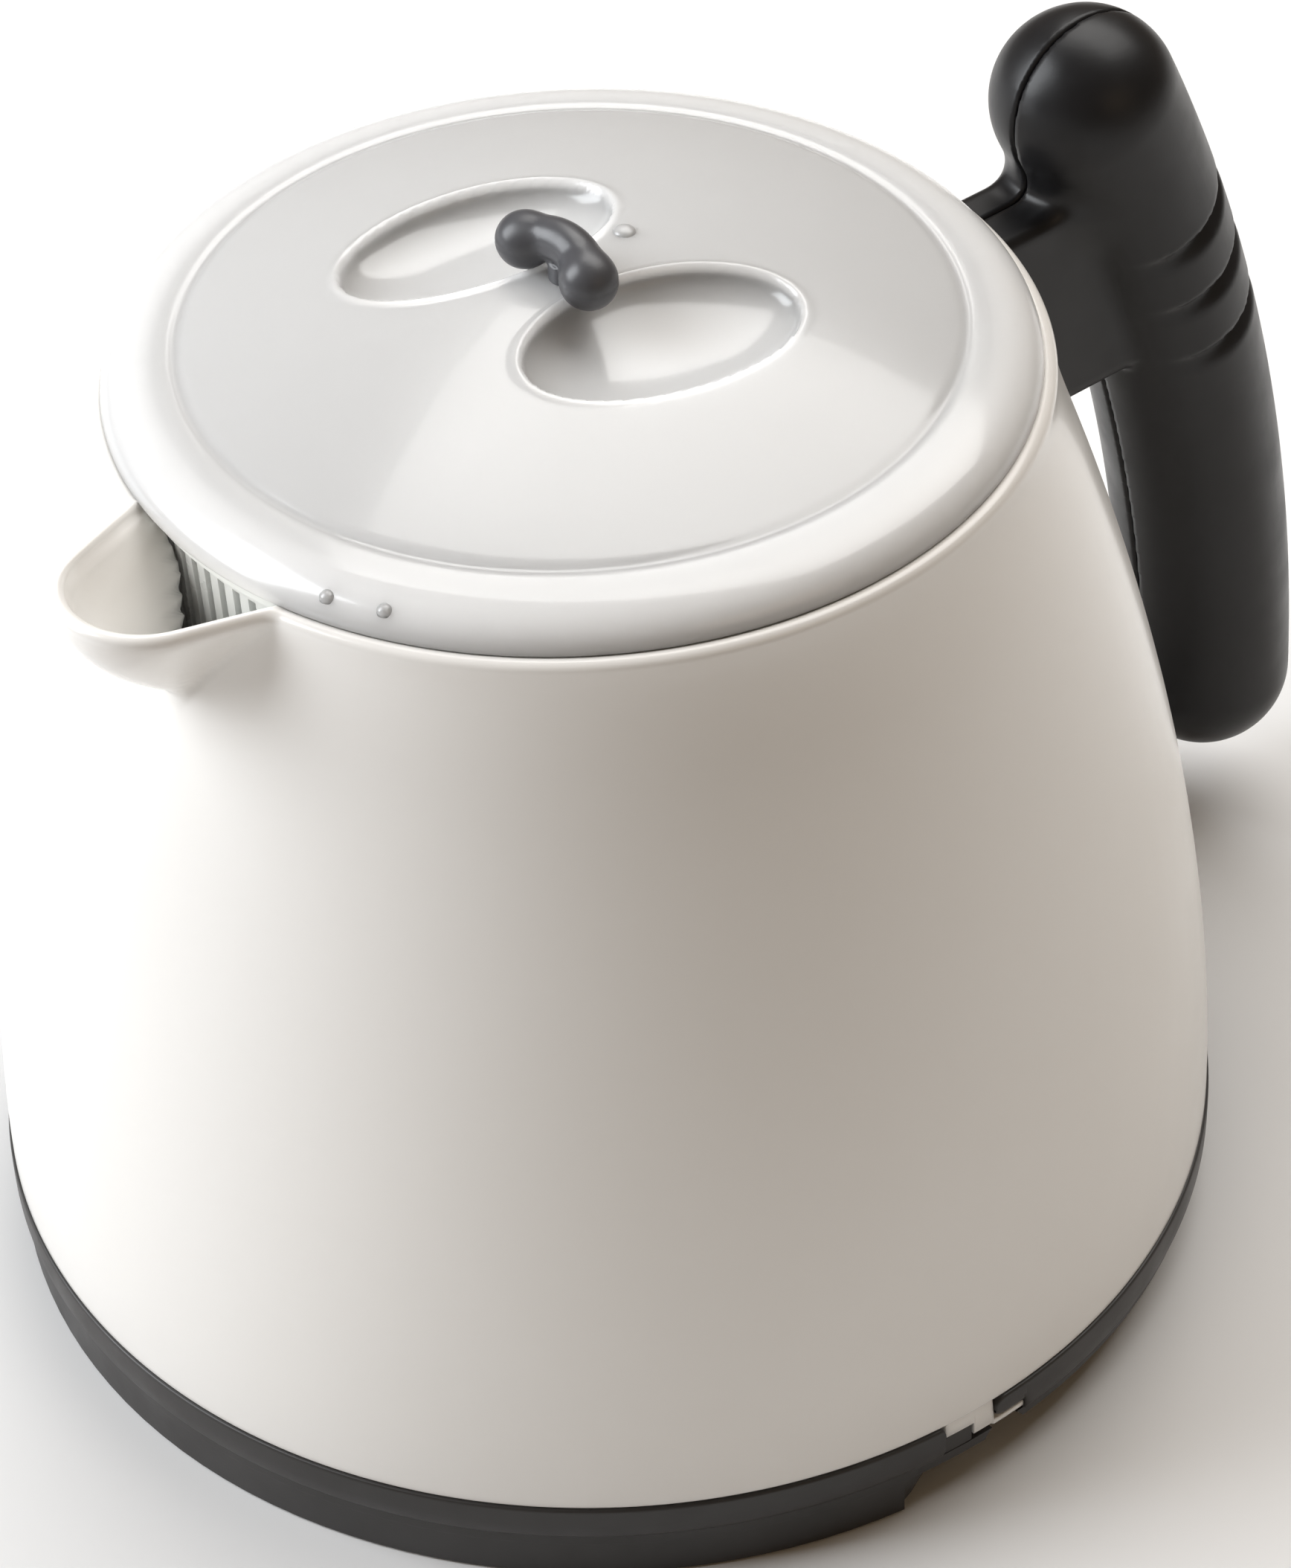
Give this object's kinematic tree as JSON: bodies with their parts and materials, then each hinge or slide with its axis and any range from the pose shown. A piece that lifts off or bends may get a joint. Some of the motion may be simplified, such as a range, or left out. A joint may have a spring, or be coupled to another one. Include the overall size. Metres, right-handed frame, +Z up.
{
  "type": "yogurt maker",
  "caption": "Jug-shaped electric yogurt maker with a pouring spout, lift-out strainer basket, domed lid with finger dimples, upright side handle and heated base.",
  "frame": {"origin": "on the jug's vertical axis, at the surface the base stands on", "axes": "+Z up along the jug's axis, +X from the axis towards the handle, -X towards the spout, +Y to the left of someone holding the handle and looking at the spout"},
  "size_m": [0.2141, 0.1702, 0.1547],
  "materials": {
    "jug_white": "glossy injection-moulded polypropylene",
    "lid_natural": "milky translucent natural polypropylene",
    "strainer_natural": "milky translucent natural polypropylene",
    "charcoal_satin": "satin charcoal plastic",
    "base_charcoal": "fine-textured charcoal plastic",
    "foot_rubber": "matte black rubber",
    "screw_steel": "zinc-plated steel",
    "heater_aluminium": "rolled aluminium sheet",
    "element_mica": "mica-wrapped heating element",
    "insulation_felt": "pressed mineral felt",
    "thermostat_body": "phenolic body with a metal cap",
    "terminal_plastic": "ivory nylon",
    "wire_brown": "PVC insulation",
    "wire_blue": "PVC insulation"
  },
  "bodies": {
    "jug": {"jug_body": "jug_white", "handle_near_shell": "charcoal_satin", "handle_far_shell": "charcoal_satin", "handle_screws": "screw_steel", "base_ring": "base_charcoal", "base_cover": "base_charcoal", "base_screws": "screw_steel", "foot_ring": "foot_rubber", "heater_plate": "heater_aluminium", "heater_element": "element_mica", "insulation_ring": "insulation_felt", "element_clamp": "screw_steel", "clamp_screws": "screw_steel", "thermostat": "thermostat_body", "thermal_fuse": "screw_steel", "terminal_block": "terminal_plastic", "live_wire": "wire_brown", "neutral_wire": "wire_blue", "link_wire": "wire_brown", "element_lead": "wire_brown", "cord_grommet": "foot_rubber", "cord_clamp": "terminal_plastic", "cord_clamp_screws": "screw_steel"},
    "strainer": {"strainer_basket": "strainer_natural"},
    "lid": {"lid_shell": "lid_natural", "lid_knob": "charcoal_satin", "knob_retainer": "charcoal_satin"}
  },
  "joints": [
    {"name": "strainer_lift", "type": "slide", "parent": "jug", "child": "strainer", "axis": [0, 0, 1], "range_m": [0, 0.1]},
    {"name": "lid_lift", "type": "slide", "parent": "strainer", "child": "lid", "axis": [0, 0, 1], "range_m": [0, 0.06]}
  ]
}
